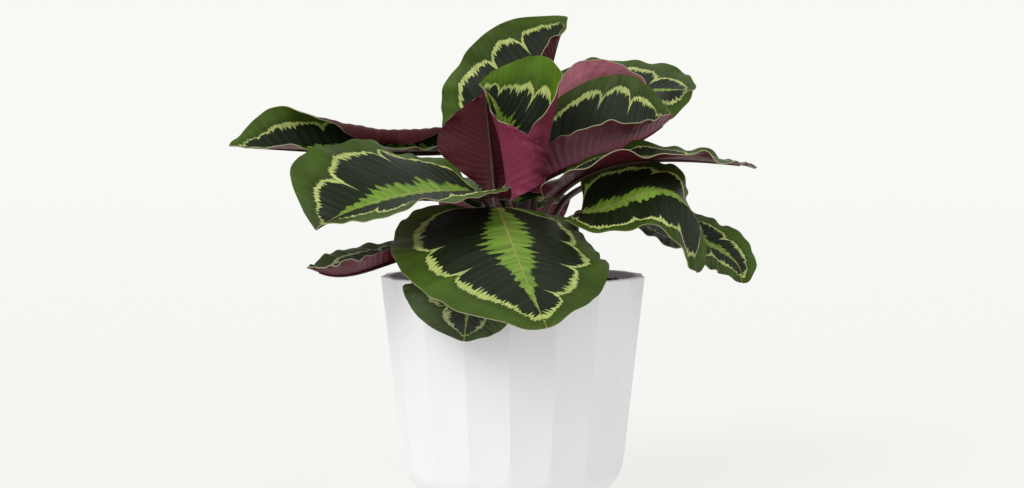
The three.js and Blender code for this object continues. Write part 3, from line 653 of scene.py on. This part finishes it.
def upper_material(name, look, s):
    material, g, shader, m, spots = leaf_parts("upper_" + name, look, 30.0)
    plain = {"border": lerp(s.border, s.border_fresh, look["fresh"]), "dark": s.dark,
             "feather": s.feather, "ring": s.ring}
    # each leaf's colours are greyed by its own amount, as a painted sheen
    border, dark, feather, ring = (lerp(plain[part], tone, look.get("sheen_grey", 0.0) * far)
                                   for part, (tone, far) in SHEEN_GREY.items())
    base = g.mix(g.line(spots["Slow"], 2.2, 0.45, True), shade(border, 0.62), shade(border, 1.4))
    base = g.mix(g.times(m["Near Ring"], 0.55), base, shade(border, 0.42))
    base = g.mix(g.times(g.math("POWER", m["Streak"], 1.5), 0.3), base, shade(border, 0.5))
    base = g.mix(g.times(m["Vein"], 0.12), base, shade(border, 1.7))
    pale = g.mix(g.line(spots["Slow"], 1.8, 0.3, True), ring, lerp(ring, feather, 0.55))
    pale = g.mix(g.math("POWER", m["Streak"], 1.5), pale, shade(lerp(ring, feather, 0.5), 0.75))
    base = g.mix(m["Ring"], base, pale)
    field = g.mix(g.math("POWER", m["Streak"], 3.0), dark, shade(dark, 2.6))
    field = g.mix(g.times(m["Vein"], 0.35), field, shade(dark, 3.0))
    base = g.mix(m["Dark"], base, field)
    plume = g.mix(g.math("POWER", m["Streak"], 1.2), shade(feather, 1.2), shade(feather, 0.42))
    base = g.mix(m["Feather"], base, plume)
    base = g.mix(m["Rib"], base, s.rib)
    g.feed(shader.inputs["Base Color"], base)
    g.feed(shader.inputs["Roughness"], g.line(spots["Fine"], 0.2, 0.45))
    shader.inputs["Specular IOR Level"].default_value = 0.16
    height = g.math("ADD", m["Relief"], g.times(spots["Fine"], 0.5))
    height = g.math("SUBTRACT", height, g.times(m["Rib"], 2.0))
    g.feed(shader.inputs["Normal"], g.bump(height, 0.35, 0.0004))
    return material


def under_material(name, look, s):
    material, g, shader, m, spots = leaf_parts("under_" + name, look, 34.0)
    # underside red: pinker by the leaf's amount, partly a young leaf's own colour and partly painted
    # light on leaves lit from behind, darker below zero as painted shade; a set colour below is painted
    # lighter where a flap is lit
    red = look.get("below") or lerp(s.underside, s.underside_pink_and_lit, look.get("pink_and_light", 0.0))
    base = g.mix(g.line(spots["Slow"], 2.0, 0.45, True), shade(red, 0.7), shade(red, 1.3))
    base = g.mix(g.times(m["Streak"], 0.55), base, shade(red, 0.55))
    base = g.mix(g.times(m["Ring"], 0.2), base, shade(red, 1.7))
    base = g.mix(g.times(m["Vein"], 0.35), base, shade(red, 0.5))
    g.feed(shader.inputs["Base Color"], base)
    g.feed(shader.inputs["Roughness"], g.line(spots["Fine"], 0.18, 0.5))
    shader.inputs["Specular IOR Level"].default_value = 0.16
    height = g.math("SUBTRACT", g.times(spots["Fine"], 0.5), m["Relief"])
    g.feed(shader.inputs["Normal"], g.bump(height, 0.28, 0.0004))
    return material


def edge_material(s):
    made = bpy.data.materials.get("leaf_edge")
    if made:
        return made
    material, g, shader, spots = plain_parts("leaf_edge", 60.0)
    g.feed(shader.inputs["Base Color"], g.mix(g.math("ADD", spots["Slow"], 0.5, clamp=True), s.edge,
                                              shade(s.edge, 0.55)))
    shader.inputs["Roughness"].default_value = 0.5
    return material


def stalk_material(s):
    made = bpy.data.materials.get("stalk_skin")
    if made:
        return made
    material, g, shader, spots = plain_parts("stalk_skin", 70.0)
    spot = g.node("ShaderNodeTexCoord").outputs["Object"]
    drawn = g.node("ShaderNodeMapping", {"Vector": spot, "Scale": (900.0, 900.0, 60.0)}).outputs[0]
    streak = g.noise(drawn, 1.0, 2.0)
    base = g.mix(g.span(streak, 0.35, 0.7), s.skin, shade(s.skin, 0.4))
    base = g.mix(g.line(spots["Slow"], 1.5, 0.15, True), base, STALK_TAN)
    g.feed(shader.inputs["Base Color"], base)
    shader.inputs["Roughness"].default_value = 0.45
    g.feed(shader.inputs["Normal"], g.bump(streak, 0.3, 0.0003))
    return material


def pot_material(s):
    material, g, shader, spots = plain_parts("matt_glaze", 22.0)
    base = g.mix(g.line(spots["Slow"], 0.5, 0.3, True), s.glaze, shade(s.glaze, 0.955))
    g.feed(shader.inputs["Base Color"], base)
    g.feed(shader.inputs["Roughness"], g.line(spots["Fine"], 0.2, 0.55))
    shader.inputs["Specular IOR Level"].default_value = 0.35
    g.feed(shader.inputs["Normal"], g.bump(spots["Fine"], 0.12, 0.0003))
    return material


def compost_material(s):
    material, g, shader, spots = plain_parts("compost", 120.0)
    base = g.mix(g.line(spots["Slow"], 2.0, 0.3, True), s.compost, COMPOST_LIGHT)
    base = g.mix(g.line(spots["Fine"], 3.0, 0.2, True), base, COMPOST_DEEP)
    g.feed(shader.inputs["Base Color"], base)
    shader.inputs["Roughness"].default_value = 0.9
    g.feed(shader.inputs["Normal"], g.bump(spots["Fine"], 0.8, 0.001))
    return material


# ------------------------ pieces
def blade_piece(name, s):
    """A leaf's blade: a fine grid laid on the leaf's surface, then given its thickness."""
    blade = Blade(name)
    bm = bmesh.new()
    bmesh.ops.create_grid(bm, x_segments=s.rows, y_segments=s.columns, size=1.0)
    bm.verts.ensure_lookup_table()
    flat = np.array([v.co[:] for v in bm.verts])
    share = (flat[:, 0] + 1) / 2
    u = share - MARGIN_ROWS * np.sin(2 * np.pi * share)
    v = flat[:, 1]
    place, normal, marks = blade.point(u, v), blade.normal(u, v), blade.marks(u, v)
    look, seed = LOOKS[name], LOOKS[name]["seed"]
    quilt = QUILT * np.sin(2 * np.pi * SIDE_VEINS * marks["vein"] + seed) \
        * np.clip(marks["across"] / QUILT_GROWS, 0, 1) * np.clip((1 - np.abs(v)) / 0.12, 0, 1)
    slow = np.array([noise.noise(Vector(p * UNEVEN_SCALE) + Vector((seed, 0, 0))) for p in place])
    hem = np.clip((np.abs(v) - HEM) / (1 - HEM), 0, 1) ** 1.5 * np.sqrt(np.sin(np.pi * u).clip(0))
    ripple = np.sin(2 * np.pi * (RIPPLES[0] * u + 0.21 * seed * np.sign(v))) \
        + 0.7 * np.sin(2 * np.pi * (RIPPLES[1] * u + 0.13 * seed * np.sign(v)))
    uneven = UNEVEN * slow * np.clip(marks["across"] / UNEVEN_GROWS, 0, 1)
    lift = quilt + uneven + RIPPLE * hem * ripple
    place = (place + normal * lift[:, None]) * MM
    for vert, p in zip(bm.verts, place):
        vert.co = p
    for key, values in marks.items():
        layer = bm.verts.layers.float.new(key)
        for vert, value in zip(bm.verts, values):
            vert[layer] = value
    for edge in bm.edges:
        if edge.is_boundary:
            edge.smooth = False
    bm.normal_update()
    bm.verts.ensure_lookup_table()
    middle = int(np.argmin((u - 0.5) ** 2 + (v - 0.4) ** 2))
    if bm.verts[middle].normal.dot(Vector(normal[middle])) < 0:
        bmesh.ops.reverse_faces(bm, faces=bm.faces)
    piece = finished(to_mesh(bm, "blade_" + name), "blade_" + name, "leaf_" + name,
                     [upper_material(name, look, s), under_material(name, look, s), edge_material(s)])
    wall = piece.modifiers.new("thickness", "SOLIDIFY")
    wall.thickness, wall.offset = s.thickness, 0.0
    wall.material_offset, wall.material_offset_rim = 1, 2
    return piece


def stalk_path(name):
    """Points in metres and radii of a stalk from its hole in the compost to the joint, and on
    under the blade as the raised midrib."""
    leaf, blade = LEAVES[name], Blade(name)
    joint, way = blade.rib.at(np.array([0.0]))
    end = joint[0] - way[0] * JOINT_GAP
    foot = np.array([*leaf["foot"], SOIL_EDGE + FOOT_UP])
    controls = [foot, foot + (0, 0, leaf["rise"]), end - way[0] * leaf["reach"], end]
    t = np.linspace(0, 1, STALK_RINGS)[:, None]
    bend = (controls[0] * (1 - t) ** 3 + 3 * controls[1] * t * (1 - t) ** 2
            + 3 * controls[2] * t * t * (1 - t) + controls[3] * t ** 3)
    low = foot - (0, 0, FOOT_UP + HOLE_DEPTH)
    stalk = STALK_FOOT + (STALK_END - STALK_FOOT) * np.sqrt(t[:, 0])
    u = np.linspace(*RIB_SPAN, RIB_RINGS)
    rib = RIB_RADIUS * (1 - u) ** 0.8 + RIB_TIP_RADIUS
    under = blade.point(u, np.zeros_like(u)) - blade.normal(u, np.zeros_like(u)) \
        * (rib * 0.95 + RIB_SINK)[:, None]
    return ([Vector(p * MM) for p in (low, *bend, *under)],
            [r * MM for r in (STALK_FOOT, *stalk, *rib)])


def stalk_piece(name, s):
    """A leaf's stalk, which runs on under the blade as its raised midrib."""
    points, radii = stalk_path(name)
    bm = bmesh.new()
    sweep_rings(bm, ring_frames(points, radii), s.sides)
    bmesh.ops.recalc_face_normals(bm, faces=bm.faces)
    return finished(to_mesh(bm, "stalk_" + name), "stalk_" + name, "stem_" + name,
                    [stalk_material(s)])


def outside_radius(z, angle):
    """Radius of the fluted pot in mm at a height, at an angle from the front towards +X."""
    ridge = RIM_RADIUS - POT_TAPER * (POT_HEIGHT - z)
    half = math.pi / FLUTES
    t = ((angle - math.radians(FLUTE_TURN)) / (2 * half)) % 1.0
    chord = math.cos(half) / math.cos((2 * t - 1) * half)
    fluted = ridge * chord - FLUTE_HOLLOW * 4 * t * (1 - t)
    if z >= CORNER_RADIUS:
        return fluted
    round_ = BASE_RADIUS + math.sqrt(CORNER_RADIUS ** 2 - (CORNER_RADIUS - z) ** 2)
    return min(fluted, round_)


def inside_radius(z):
    """Radius of the round inside of the pot in mm at a height."""
    side = RIM_RADIUS - POT_WALL - POT_TAPER * (POT_HEIGHT - z)
    if z >= CORNER_RADIUS:
        return side
    r = CORNER_RADIUS - POT_WALL
    return min(side, BASE_RADIUS + math.sqrt(max(0, r ** 2 - (CORNER_RADIUS - z) ** 2)))


def pot_rings():
    """(height, radius at an angle) of each ring of the pot, from the base up, over and down."""
    corner = [CORNER_RADIUS * (1 - math.cos(math.radians(a))) for a in range(0, 91, 6)]
    heights = [*corner, *OUTSIDE_HEIGHTS, POT_HEIGHT - RIM_EASE * 1.6]
    rings = [(z, lambda a, z=z: outside_radius(z, a)) for z in heights]
    ease = [(POT_HEIGHT - RIM_EASE * (1 - math.sin(a)), RIM_EASE * (1 - math.cos(a)))
            for a in (math.radians(step * 22.5) for step in range(5))]
    rings += [(z, lambda t, back=back: outside_radius(POT_HEIGHT, t) - back) for z, back in ease[1:]]
    rings += [(z, lambda t, back=back: inside_radius(POT_HEIGHT) + back) for z, back in ease[::-1]]
    return rings + [(z, lambda a, z=z: inside_radius(z)) for z in (*INSIDE_HEIGHTS, POT_FLOOR)]


def pot_piece(s):
    """The pot: one skin from the foot up, over the rim and down inside, sharp on its ridges."""
    bm = bmesh.new()
    around = FLUTES * s.facets
    made = bmesh.ops.create_circle(bm, cap_ends=False, segments=around, radius=1.0)["verts"]
    bmesh.ops.rotate(bm, cent=(0, 0, 0), verts=made,
                     matrix=Matrix.Rotation(math.radians(FLUTE_TURN), 3, "Z"))
    edges = edges_of(made)
    rings = pot_rings()

    def shape(verts, z, radius):
        for v in verts:
            a = math.atan2(v.co.x, -v.co.y)
            r = radius(a) * MM
            v.co = (r * math.sin(a), -r * math.cos(a), z * MM)

    shape(made, *rings[0])
    bmesh.ops.contextual_create(bm, geom=edges)
    for z, radius in rings[1:]:
        verts, edges = grow_ring(bm, edges)
        shape(verts, z, radius)
    bmesh.ops.contextual_create(bm, geom=edges)
    bm.normal_update()
    half = math.pi / FLUTES
    for e in bm.edges:
        a, b = e.verts
        if abs(a.co.z - b.co.z) < 1e-6 or min(a.co.z, b.co.z) < (CORNER_RADIUS - 2) * MM:
            continue
        t = ((math.atan2(a.co.x, -a.co.y) - math.radians(FLUTE_TURN)) / (2 * half)) % 1.0
        if min(t, 1 - t) < 0.01 and a.co.xy.length > inside_radius(a.co.z / MM) * MM + 0.003:
            e.smooth = False
    bmesh.ops.recalc_face_normals(bm, faces=bm.faces)
    return finished(to_mesh(bm, "fluted_pot"), "fluted_pot", "pot", [pot_material(s)])


def compost_piece(s):
    """The compost: a filled round block with a lumpy top and loose crumbs on it."""
    bm = bmesh.new()
    rng = np.random.default_rng(12)
    radius = (inside_radius(SOIL_EDGE) - SOIL_GAP) * MM
    made = bmesh.ops.create_circle(bm, cap_ends=False, segments=COMPOST_SIDES,
                                   radius=radius * 0.02)["verts"]
    bmesh.ops.translate(bm, verts=made, vec=(0, 0, (SOIL_EDGE + SOIL_CROWN) * MM))
    edges = edges_of(made)
    bmesh.ops.contextual_create(bm, geom=edges)
    for k in range(1, COMPOST_RINGS + 1):
        share = 0.02 + 0.98 * k / COMPOST_RINGS
        verts, edges = grow_ring(bm, edges)
        for v in verts:
            flat = v.co.xy.normalized() * radius * share
            lump = noise.fractal(Vector((flat.x, flat.y, 0.0)) * 130, 0.6, 2.2, 4)
            lump += 0.6 * noise.noise(Vector((flat.x, flat.y, 0.3)) * 45)
            fade = min(1.0, (1 - share) / 0.06)
            height = SOIL_EDGE + SOIL_CROWN * (1 - share * share) + LUMPS * lump * (0.3 + 0.7 * fade)
            v.co = (flat.x, flat.y, height * MM)
    for z in COMPOST_HEIGHTS:
        verts, edges = grow_ring(bm, edges)
        r = (inside_radius(z) - SOIL_GAP) * MM
        for v in verts:
            flat = v.co.xy.normalized() * r
            v.co = (flat.x, flat.y, z * MM)
    bmesh.ops.contextual_create(bm, geom=edges)
    bmesh.ops.recalc_face_normals(bm, faces=bm.faces)
    for _ in range(s.crumbs):
        r = radius * 0.97 * math.sqrt(rng.random())
        a = rng.random() * 2 * math.pi
        size = (CRUMB_SIZE[0] + CRUMB_SIZE[1] * rng.random() ** 2) * MM
        top = (SOIL_EDGE + SOIL_CROWN * (1 - (r / radius) ** 2) + CRUMB_LIFT) * MM
        turn = Matrix.Rotation(rng.random() * 6.28, 4, Vector((rng.random(), rng.random(), 1)))
        grain = Matrix.Diagonal((1.0, 0.5 + 0.5 * rng.random(), 0.4 + 0.4 * rng.random(), 1.0))
        place = Matrix.Translation((r * math.cos(a), r * math.sin(a), top)) @ turn @ grain
        bmesh.ops.create_icosphere(bm, subdivisions=1, radius=size, matrix=place)
    return finished(to_mesh(bm, "compost_bed", False), "compost_bed", "soil",
                    [compost_material(s)])


# ------------------------ stage
def floor_piece(s):
    """A plain floor that rises behind in one soft curve."""
    bm = bmesh.new()
    bmesh.ops.create_grid(bm, x_segments=2, y_segments=60, size=1.0)
    for v in bm.verts:
        x, y = v.co.x * FLOOR_HALF, FLOOR_FRONT + (v.co.y + 1) / 2 * FLOOR_RUN
        past = max(0.0, y - FLOOR_TURN)
        a = min(past / FLOOR_RADIUS, math.pi / 2)
        v.co = (x, min(y, FLOOR_TURN) + FLOOR_RADIUS * math.sin(a),
                FLOOR_RADIUS * (1 - math.cos(a)) + max(0.0, past - FLOOR_RADIUS * math.pi / 2))
    bmesh.ops.recalc_face_normals(bm, faces=bm.faces)
    mesh = to_mesh(bm, "floor")
    material, g, shader, spots = plain_parts("floor_paper", 3.0)
    base = g.mix(g.line(spots["Slow"], 0.3, 0.5, True), s.floor, shade(s.floor, 0.995))
    g.feed(shader.inputs["Base Color"], base)
    shader.inputs["Roughness"].default_value = 0.9
    shader.inputs["Specular IOR Level"].default_value = 0.0
    shader.inputs["Emission Color"].default_value = PAPER_TINT
    shader.inputs["Emission Strength"].default_value = s.glow
    mesh.materials.append(material)
    floor = bpy.data.objects.new("floor", mesh)
    bpy.context.scene.collection.objects.link(floor)


def sun_light(name, towards, power, spread, tint):
    data = bpy.data.lights.new(name, "SUN")
    data.energy, data.angle, data.color = power, math.radians(spread), tint
    light = bpy.data.objects.new(name, data)
    light.rotation_euler = Vector(towards).to_track_quat("-Z", "Y").to_euler()
    bpy.context.scene.collection.objects.link(light)


def camera():
    data = bpy.data.cameras.new("camera")
    data.sensor_width, data.lens, data.sensor_fit = 36.0, CAMERA_LENS, "HORIZONTAL"
    data.clip_start, data.clip_end = 0.05, 50.0
    eye = bpy.data.objects.new("camera", data)
    eye.location = Vector(CAMERA_PLACE) * MM
    eye.rotation_euler = (math.radians(90 - CAMERA_DOWN), 0, 0)
    bpy.context.scene.collection.objects.link(eye)
    bpy.context.scene.camera = eye


def sky(s):
    world = bpy.data.worlds.new("even_light")
    bpy.context.scene.world = world
    world.use_nodes = True
    back = world.node_tree.nodes["Background"]
    back.inputs[0].default_value = SKY_TINT
    back.inputs[1].default_value = s.sky


# ------------------------ operators
class PLANT_OT_pot(bpy.types.Operator):
    """Build the white fluted pot"""
    bl_idname = "plant.pot"
    bl_label = "Fluted Pot"

    def execute(self, context):
        pot_piece(context.scene.plant_pot)
        return {"FINISHED"}


class PLANT_OT_compost(bpy.types.Operator):
    """Build the compost that fills the pot"""
    bl_idname = "plant.compost"
    bl_label = "Compost"

    def execute(self, context):
        compost_piece(context.scene.plant_pot)
        return {"FINISHED"}


class PLANT_OT_stalks(bpy.types.Operator):
    """Build the stalk and raised midrib of every leaf"""
    bl_idname = "plant.stalks"
    bl_label = "Stalks"

    def execute(self, context):
        for name in LEAVES:
            stalk_piece(name, context.scene.plant_stalk)
        return {"FINISHED"}


class PLANT_OT_blades(bpy.types.Operator):
    """Build the painted blade of every leaf"""
    bl_idname = "plant.blades"
    bl_label = "Blades"

    def execute(self, context):
        for name in LEAVES:
            blade_piece(name, context.scene.plant_leaf)
        return {"FINISHED"}


class PLANT_OT_stage(bpy.types.Operator):
    """Lay the pale floor and set the lights and the camera"""
    bl_idname = "plant.stage"
    bl_label = "Stage"

    def execute(self, context):
        s = context.scene.plant_stage
        floor_piece(s)
        sky(s)
        sun_light("key", KEY_TOWARDS, s.key, KEY_SPREAD, KEY_TINT)
        context.scene.view_settings.view_transform = "Standard"
        camera()
        return {"FINISHED"}


class PLANT_PT_panel(bpy.types.Panel):
    """Sidebar panel of the potted plant"""
    bl_label = "Potted Prayer Plant"
    bl_idname = "PLANT_PT_panel"
    bl_space_type, bl_region_type, bl_category = "VIEW_3D", "UI", "Plant"

    def draw(self, context):
        for key, group in SETTINGS.items():
            box = self.layout.box()
            for name in group.__annotations__:
                box.prop(getattr(context.scene, key), name)
        for operator in OPERATORS:
            self.layout.operator(operator.bl_idname)


SETTINGS = {"plant_pot": PotSettings, "plant_leaf": LeafSettings, "plant_stalk": StalkSettings,
            "plant_stage": StageSettings}
OPERATORS = (PLANT_OT_pot, PLANT_OT_compost, PLANT_OT_stalks, PLANT_OT_blades, PLANT_OT_stage)


def register():
    for cls in (*SETTINGS.values(), *OPERATORS, PLANT_PT_panel):
        bpy.utils.register_class(cls)
    for key, group in SETTINGS.items():
        setattr(bpy.types.Scene, key, bpy.props.PointerProperty(type=group))


def unregister():
    for key in SETTINGS:
        delattr(bpy.types.Scene, key)
    for cls in (PLANT_PT_panel, *reversed(OPERATORS), *reversed(SETTINGS.values())):
        bpy.utils.unregister_class(cls)


def main():
    register()
    bpy.ops.plant.pot()
    bpy.ops.plant.compost()
    bpy.ops.plant.stalks()
    bpy.ops.plant.blades()
    bpy.ops.plant.stage()


if __name__ == "__main__":
    main()
